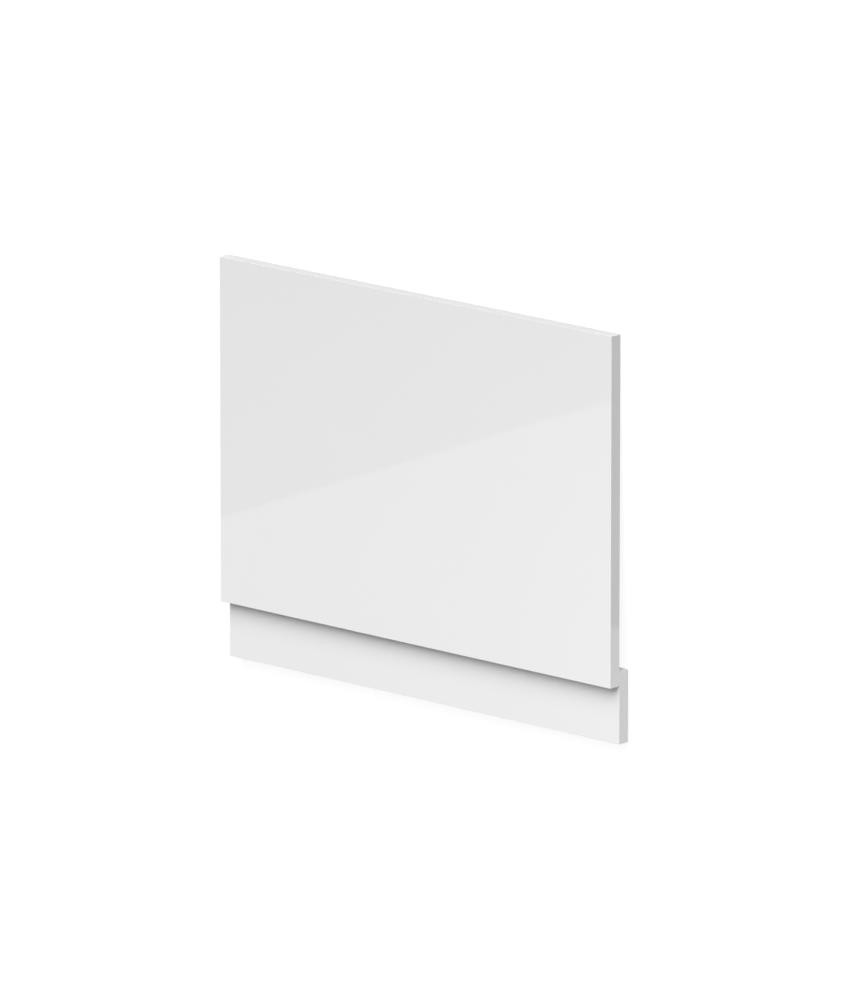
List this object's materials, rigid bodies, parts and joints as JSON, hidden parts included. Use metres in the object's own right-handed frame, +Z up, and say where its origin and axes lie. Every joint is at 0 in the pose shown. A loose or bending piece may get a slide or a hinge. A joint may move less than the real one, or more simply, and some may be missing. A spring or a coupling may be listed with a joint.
{
  "type": "bath end panel",
  "caption": "Flat gloss white board that closes the end of a bath, with a plinth board set back behind its lower edge.",
  "frame": {"origin": "middle of the underside: the panel lies face up and the floor is at Z = 0", "axes": "+X along the panel's width, to the right as its face is seen upright; +Y towards its top edge; +Z up out of its face. The boards lean 2.2 degrees about X, because the panel lies over its plinth"},
  "size_m": [0.7, 0.561, 0.0367],
  "materials": {
    "panel_gloss_white": "gloss",
    "plinth_gloss_white": "gloss"
  },
  "bodies": {
    "root": {"end_panel": "panel_gloss_white", "plinth": "plinth_gloss_white"}
  },
  "joints": []
}
